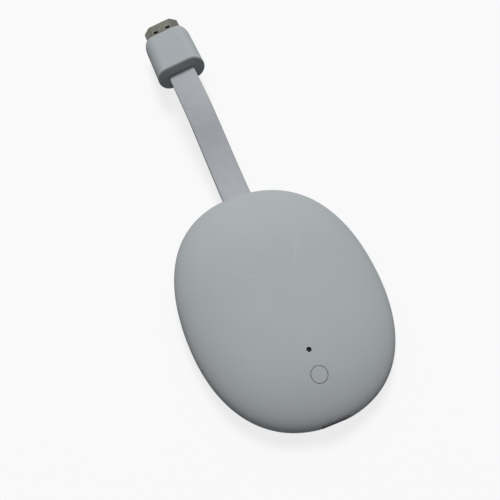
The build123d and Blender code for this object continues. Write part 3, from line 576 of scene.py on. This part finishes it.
# %% Ribbon jacket
def ribbon_jacket(name, colour):
    """Finish of the ribbon: matte, faintly ribbed over its wires, with dull patches."""
    material, tree, shader, position = new_finish(name)
    surface = use_group(tree, grain, position, grain_scale=1800.0, tone_scale=90.0)
    wire_pitch = 0.5 * MM
    ripple_share = 0.12
    jacket_depth = 0.014 * MM
    axes = place_node(tree, "ShaderNodeSeparateXYZ")
    tree.links.new(position, axes.inputs["Vector"])
    across = calculate(tree, "MULTIPLY", axes.outputs["X"], 2 * math.pi / wire_pitch)
    ripple = calculate(tree, "SINE", across)
    toned = mottled(tree, surface["Tone"], colour, darkest=0.985, lightest=1.015)
    tree.links.new(toned, shader.inputs["Base Color"])
    vary_roughness(tree, shader, surface["Gloss"], bare=0.6, full=0.7)
    height = calculate(tree, "MULTIPLY_ADD", ripple, ripple_share, surface["Height"])
    raise_surface(tree, shader, height, jacket_depth)
    shader.inputs["IOR"].default_value = 1.45
    return material


ribbon_grey = ribbon_jacket("ribbon_grey", screen_colour(163, 166, 171))
ribbon = grow(
    "ribbon_band",
    ribbon_line,
    flat_band_tree(),
    **{
        "Width": ribbon_width,
        "Thickness": ribbon_thickness,
        "Edge Radius": ribbon_edge_radius,
        "Edge Steps": ribbon_edge_steps,
        "Start Roll": 0.0,
        "End Roll": plug_roll,
        "Finish": ribbon_grey,
    },
)
print("ribbon band:", len(ribbon.data.polygons), "faces")

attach(ribbon, "stick")
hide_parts("flat_cable")

# %% [markdown]
# ### Trim of the power socket
# A flat moulded rim lines the socket's mouth, and the end of a power plug comes to rest against it.
# It is one section carried round an oval: a short wall with rounded front edges. It could be cut from
# a block, but points placed ring by ring give a closed form with no seam and even edges.


# %% Rounded section and oval
def oval(width, height, end_steps):
    """Returns points round an oval with straight long sides, each with the direction outwards."""
    radius = height / 2
    straight = width / 2 - radius
    points = []
    for side in (1, -1):
        for step in range(end_steps + 1):
            angle = math.pi * step / end_steps - side * math.pi / 2
            outward = Vector((math.cos(angle), 0.0, math.sin(angle)))
            points.append((Vector((side * straight, 0.0, 0.0)) + outward * radius, outward))
    return points


def rim_section(wall, front, back, outer_edge, inner_edge, edge_steps=5):
    """Returns a rim's section as insets from its outside and places along Y, round its front edges."""
    turns = [math.pi / 2 * step / edge_steps for step in range(edge_steps + 1)]
    section = [(0.0, back)]
    for turn in turns:
        inset = outer_edge * (1 - math.cos(turn))
        section.append((inset, front + outer_edge * (1 - math.sin(turn))))
    for turn in turns:
        inset = wall - inner_edge * (1 - math.sin(turn))
        section.append((inset, front + inner_edge * (1 - math.cos(turn))))
    section.append((wall, back))
    return section


# %% Socket trim
trim_width = 9.14 * MM
trim_height = 3.36 * MM
trim_wall = 0.36 * MM
trim_outer_edge = 0.26 * MM
trim_inner_edge = 0.06 * MM
trim_front = cad_low.y
trim_end_steps = 20
sharp_from = math.radians(30)
socket_low, socket_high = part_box("power_socket_shell")
trim_middle = Vector((0.0, 0.0, (socket_low.z + socket_high.z) / 2))
section = rim_section(trim_wall, trim_front, socket_low.y, trim_outer_edge, trim_inner_edge)

trim_form = bmesh.new()
rings = []
for place, outward in oval(trim_width, trim_height, trim_end_steps):
    corners = [trim_middle + place - outward * inset + Vector((0.0, y, 0.0)) for inset, y in section]
    rings.append([trim_form.verts.new(corner) for corner in corners])
for ring, next_ring in zip(rings, rings[1:] + rings[:1]):
    for here in range(len(section)):
        after = (here + 1) % len(section)
        trim_form.faces.new((ring[here], ring[after], next_ring[after], next_ring[here]))
bmesh.ops.recalc_face_normals(trim_form, faces=trim_form.faces)
trim_mesh = bpy.data.meshes.new("socket_trim")
trim_form.to_mesh(trim_mesh)
trim_form.free()
trim_mesh.shade_smooth()
trim_mesh.set_sharp_from_angle(angle=sharp_from)
socket_trim = bpy.data.objects.new("socket_trim", trim_mesh)
bpy.context.scene.collection.objects.link(socket_trim)
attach(socket_trim, "stick")
print("socket trim:", len(trim_mesh.polygons), "faces")

# %% [markdown]
# ### Metals
# The plug's shell is nickel plated sheet, drawn along the plug, so its streaks are turned to the
# plug's own direction. Where the sheet is folded its colour is darkened, a painted shade that the
# Geometry node's Pointiness finds: it is 0.5 on flat metal and more where the surface bulges. The
# other sheet metal, screws and contacts share the way it is made, with other colours and streaks.


# %% Metals
def sheet_metal(name, colour, rough, turn=(0.0, 0.0, 0.0), tarnish=0.8, streaks=9000.0, fold_shade=1.0):
    """Finish of plated or bare sheet metal with a drawn grain, slightly dull patches and painted shade
    where the sheet is folded.
    """
    material, tree, shader, position = new_finish(name, turn)
    surface = use_group(tree, drawn_grain, position, streaks=streaks)
    edge = use_group(tree, worn_edge, position)["Mask"]
    streak_depth = 0.006 * MM
    toned = mottled(tree, surface["Tone"], colour, darkest=tarnish, lightest=1.0)
    bright = lay_over(tree, toned, edge, 0.6, shaded(colour, 1.2))
    # Painted shade: the colour is darkened where Pointiness finds a fold.
    shape = place_node(tree, "ShaderNodeNewGeometry")
    fold_shade_mask = ramp(tree, shape.outputs["Pointiness"], low=0.52, high=0.6)
    fold_shaded = blend_colour(tree, fold_shade_mask, bright, shaded(colour, fold_shade))
    tree.links.new(fold_shaded, shader.inputs["Base Color"])
    edge_polish = 0.1
    streaked = blend_number(tree, surface["Height"], rough - 0.06, rough + 0.08)
    vary_roughness(tree, shader, edge, bare=streaked, full=rough - edge_polish)
    raise_surface(tree, shader, surface["Height"], streak_depth)
    shader.inputs["Metallic"].default_value = 1.0
    return material


along_plug = (-plug_pitch, 0.0, -plug_yaw)
# The nickel's folds are painted in shade, at 0.48 of its colour.
nickel = sheet_metal("nickel", screen_colour(132, 132, 121), 0.3, along_plug, fold_shade=0.48)
gold = sheet_metal("gold", screen_colour(233, 206, 140), 0.25, tarnish=0.9)
copper = sheet_metal("copper", screen_colour(214, 158, 128), 0.3, tarnish=0.75)
steel = sheet_metal("steel", screen_colour(190, 191, 193), 0.3)
tinned = sheet_metal("tinned", screen_colour(208, 207, 202), 0.36, tarnish=0.85, streaks=5000.0)
spreader = sheet_metal("spreader", screen_colour(212, 213, 214), 0.38, tarnish=0.88, streaks=4000.0)


# %% [markdown]
# ### Inside pieces
# What lies inside is seen only when the stick is opened: the board, chips, pads and the mouldings
# of both connectors. They get plainer finishes, still with grain and uneven tone. The trim in the
# power socket's mouth gets the same black resin as the socket's insulator, its dark colour painted
# shade along the housing's near edge.


# %% Inside mouldings, pads and ceramics
def inside_moulding(name, colour, rough, grain_scale=3000.0, depth=0.006 * MM):
    """Finish of a moulded, pressed or fired piece inside the housing."""
    material, tree, shader, position = new_finish(name)
    surface = use_group(tree, grain, position, grain_scale=grain_scale, tone_scale=220.0)
    toned = mottled(tree, surface["Tone"], colour, darkest=0.88, lightest=1.08)
    tree.links.new(toned, shader.inputs["Base Color"])
    vary_roughness(tree, shader, surface["Gloss"], bare=rough - 0.05, full=rough + 0.07)
    raise_surface(tree, shader, surface["Height"], depth)
    return material


anchor_grey = inside_moulding("anchor_grey", screen_colour(160, 160, 164), 0.6, depth=0.012 * MM)
mould_white = inside_moulding("mould_white", screen_colour(229, 227, 222), 0.55)
black_resin = inside_moulding("black_resin", screen_colour(60, 61, 64), 0.5)
chip_black = inside_moulding("chip_black", screen_colour(50, 50, 52), 0.62, grain_scale=5000.0)
switch_black = inside_moulding("switch_black", screen_colour(54, 54, 54), 0.5)
pad_blue = inside_moulding(
    "pad_blue", screen_colour(176, 194, 212), 0.75, grain_scale=1200.0, depth=0.02 * MM
)
ferrite = inside_moulding("ferrite", screen_colour(80, 80, 82), 0.7, depth=0.015 * MM)
ceramic = inside_moulding("ceramic", screen_colour(176, 152, 124), 0.4)
# The trim is a real rim; its dark black resin colour is painted shade along the housing's near edge.
socket_trim.data.materials.append(black_resin)


# %% Board
def board_laminate(name, mask_colour, trace_colour):
    """Solder mask over glass-fibre laminate, with the copper tracks showing faintly through it."""
    material, tree, shader, position = new_finish(name)
    surface = use_group(tree, grain, position, grain_scale=2400.0, tone_scale=120.0)
    tracks = place_node(tree, "ShaderNodeTexBrick", offset=0.5, squash=1.0)
    tracks.inputs["Scale"].default_value = 240.0
    tracks.inputs["Mortar Size"].default_value = 0.045
    tracks.inputs["Brick Width"].default_value = 1.7
    tracks.inputs["Row Height"].default_value = 0.21
    tree.links.new(position, tracks.inputs["Vector"])
    region_scale = 160.0
    track_height = 0.02 * MM
    regions = ramp(tree, noise(tree, position, region_scale, detail=1.0), low=0.48, high=0.52)
    shown = calculate(tree, "MULTIPLY", tracks.outputs["Fac"], regions)
    toned = mottled(tree, surface["Tone"], mask_colour, darkest=0.85, lightest=1.12)
    tree.links.new(blend_colour(tree, shown, toned, trace_colour), shader.inputs["Base Color"])
    vary_roughness(tree, shader, surface["Gloss"], bare=0.28, full=0.4)
    raise_surface(tree, shader, shown, track_height)
    return material


board = board_laminate("board", screen_colour(24, 66, 52), screen_colour(46, 104, 78))


# %% [markdown]
# ### Status light
# A pipe of smoked plastic brings the light from the board to a tiny hole in the back cover. It is so
# dark that the hole looks black while the light is off, and only a little light passes through.


# %% Smoked pipe and light
def smoked_pipe(name):
    """Finish of the light pipe."""
    material, tree, shader, position = new_finish(name)
    surface = use_group(tree, grain, position, grain_scale=4000.0, tone_scale=500.0)
    tint = blend_colour(tree, surface["Tone"], screen_colour(12, 16, 18), screen_colour(20, 25, 28))
    tree.links.new(tint, shader.inputs["Base Color"])
    vary_roughness(tree, shader, surface["Gloss"], bare=0.45, full=0.6)
    shader.inputs["Transmission Weight"].default_value = 0.12
    shader.inputs["Specular IOR Level"].default_value = 0.05
    return material


smoked = smoked_pipe("smoked")
light = inside_moulding("light", screen_colour(236, 226, 168), 0.3)

# %% [markdown]
# ### Finishes on the CAD pieces
# Every finish is listed with the CAD pieces that are made of it. A piece's material slots are
# emptied first, so that only its finish is left. The flat cable isn't in the list, because the
# ribbon band stands in for it.

# %% Give each CAD piece its finish
finishes = {
    cover_grey: ["front_cover", "back_cover", "reset_button"],
    sleeve_grey: ["plug_sleeve"],
    anchor_grey: ["cable_anchor"],
    mould_white: ["plug_inner_mould"],
    nickel: ["plug_shell", "power_socket_shell"],
    black_resin: ["plug_insulator", "power_socket_insulator", "switch_plunger"],
    gold: ["plug_contacts", "power_socket_contacts"],
    copper: ["ribbon_wires", "plug_wires"],
    board: ["main_board"],
    chip_black: [
        "processor_chip", "upper_memory_chip", "lower_memory_chip",
        "flash_chip", "radio_chip", "power_chip",
    ],
    steel: ["board_screws", "cable_clamp"],
    tinned: [
        "back_shield_can", "front_shield_can", "left_antenna",
        "right_antenna", "switch_snap_dome", "clock_crystal",
    ],
    pad_blue: ["processor_thermal_pad", "back_thermal_pad", "front_thermal_pad"],
    spreader: ["back_heat_spreader", "front_heat_spreader"],
    smoked: ["light_pipe"],
    light: ["status_light"],
    ferrite: ["power_inductors"],
    ceramic: ["capacitors"],
    switch_black: ["push_switch_body"],
}
dressed = 0
for material, names in finishes.items():
    for name in names:
        piece = nodes[name]
        piece.data.materials.clear()
        piece.data.materials.append(material)
        dressed += 1
print("pieces given a finish:", dressed, "of", len(nodes) - 1, "CAD pieces that stay")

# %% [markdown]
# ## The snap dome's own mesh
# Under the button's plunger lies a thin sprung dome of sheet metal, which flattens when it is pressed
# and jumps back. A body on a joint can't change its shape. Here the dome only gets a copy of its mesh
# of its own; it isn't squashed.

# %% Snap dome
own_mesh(nodes["switch_snap_dome"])

# %% [markdown]
# ## Studio
# The stick lies on a pale floor under one large soft box, high up behind its plug and a little to
# the right, so the back cover is evenly lit and its near shoulder falls into shade. A grid on the
# box narrows its beam, which is aimed at the near end, so the plug doesn't get more light than the
# housing. A weak world light fills the shadows. The floor and the world look pale to the camera and
# in reflections, but send little light to the stick, which keeps its undersides dark. What metal
# mirrors of the world is brightest around the soft box.

# %% Floor
floor_reach = 3.0
floor_gap = 0.02 * MM
floor_height = cad_low.z - floor_gap
floor_corners = [
    (side * floor_reach, end * floor_reach, floor_height)
    for side, end in ((-1, -1), (1, -1), (1, 1), (-1, 1))
]
floor_mesh = bpy.data.meshes.new("floor")
floor_mesh.from_pydata(floor_corners, [], [(0, 1, 2, 3)])
floor = bpy.data.objects.new("floor", floor_mesh)
bpy.context.scene.collection.objects.link(floor)


# %% Finish of the floor
WHITE = (1.0, 1.0, 1.0, 1.0)


def floor_finish():
    """Pale to the camera and in reflections, darker for the light that it sends back."""
    material = bpy.data.materials.new("studio_floor")
    material.use_nodes = True
    tree = material.node_tree
    tree.nodes.remove(tree.nodes["Principled BSDF"])
    seen_colour = screen_colour(112, 112, 113)
    unseen_colour = screen_colour(106, 107, 109)
    glow_strength = 0.8
    rays = place_node(tree, "ShaderNodeLightPath").outputs
    seen = calculate(tree, "MAXIMUM", rays["Is Camera Ray"], rays["Is Glossy Ray"])
    seen = calculate(tree, "MAXIMUM", seen, rays["Is Transmission Ray"])
    pale = place_node(tree, "ShaderNodeBsdfDiffuse")
    pale.inputs["Color"].default_value = seen_colour
    glow = place_node(tree, "ShaderNodeEmission")
    glow.inputs["Color"].default_value = WHITE
    glow.inputs["Strength"].default_value = glow_strength
    lit = place_node(tree, "ShaderNodeAddShader")
    tree.links.new(pale.outputs["BSDF"], lit.inputs[0])
    tree.links.new(glow.outputs["Emission"], lit.inputs[1])
    dim = place_node(tree, "ShaderNodeBsdfDiffuse")
    dim.inputs["Color"].default_value = unseen_colour
    choice = place_node(tree, "ShaderNodeMixShader")
    tree.links.new(seen, choice.inputs["Fac"])
    tree.links.new(dim.outputs["BSDF"], choice.inputs[1])
    tree.links.new(lit.outputs["Shader"], choice.inputs[2])
    tree.links.new(choice.outputs["Shader"], tree.nodes["Material Output"].inputs["Surface"])
    return material


floor_mesh.materials.append(floor_finish())
print("floor:", round(2 * floor_reach, 1), "m wide, at", round(floor_height / MM, 2), "mm")


# %% Soft box
aim_inset = 12.0 * MM
aim_height = 6.0 * MM
lamp_aim = Vector((0.0, cad_low.y + aim_inset, aim_height))
towards_lamp = Vector((0.14, 0.54, 0.83))
lamp_distance = 2.8
lamp_size = 1.2
lamp_power = 8.95
lamp_spread = math.radians(60)

soft_box_data = bpy.data.lights.new("soft_box", "AREA")
soft_box_data.shape = "SQUARE"
soft_box_data.size = lamp_size
soft_box_data.energy = lamp_power
soft_box_data.spread = lamp_spread
soft_box = bpy.data.objects.new("soft_box", soft_box_data)
soft_box.location = lamp_aim + towards_lamp * lamp_distance
soft_box.rotation_mode = "QUATERNION"
soft_box.rotation_quaternion = (-towards_lamp).to_track_quat("-Z", "Y")
bpy.context.scene.collection.objects.link(soft_box)
print("soft box:", lamp_power, "W,", lamp_size, "m wide")

# %% World
fill_strength = 0.21
backdrop_strength = 0.95
mirrored_away_from_lamp = 0.4
mirrored_near_lamp = 0.95

world = bpy.data.worlds.new("studio_world")
world.use_nodes = True
bpy.context.scene.world = world
sky = world.node_tree
sky_rays = place_node(sky, "ShaderNodeLightPath").outputs
sky_direction = place_node(sky, "ShaderNodeTexCoord").outputs["Generated"]
nearness = place_node(sky, "ShaderNodeVectorMath", operation="DOT_PRODUCT")
nearness.inputs[1].default_value = towards_lamp.normalized()
sky.links.new(sky_direction, nearness.inputs[0])
mirrored = place_node(sky, "ShaderNodeMapRange", clamp=True)
mirrored.inputs["To Min"].default_value = mirrored_away_from_lamp
mirrored.inputs["To Max"].default_value = mirrored_near_lamp
sky.links.new(nearness.outputs["Value"], mirrored.inputs["Value"])
unseen = blend_number(sky, sky_rays["Is Glossy Ray"], fill_strength, mirrored.outputs["Result"])
seen = calculate(sky, "MAXIMUM", sky_rays["Is Camera Ray"], sky_rays["Is Transmission Ray"])
backdrop = sky.nodes["Background"]
backdrop.inputs["Color"].default_value = WHITE
strength = blend_number(sky, seen, unseen, backdrop_strength)
sky.links.new(strength, backdrop.inputs["Strength"])
bpy.context.scene.view_settings.view_transform = "Standard"
print("light from all round:", fill_strength)
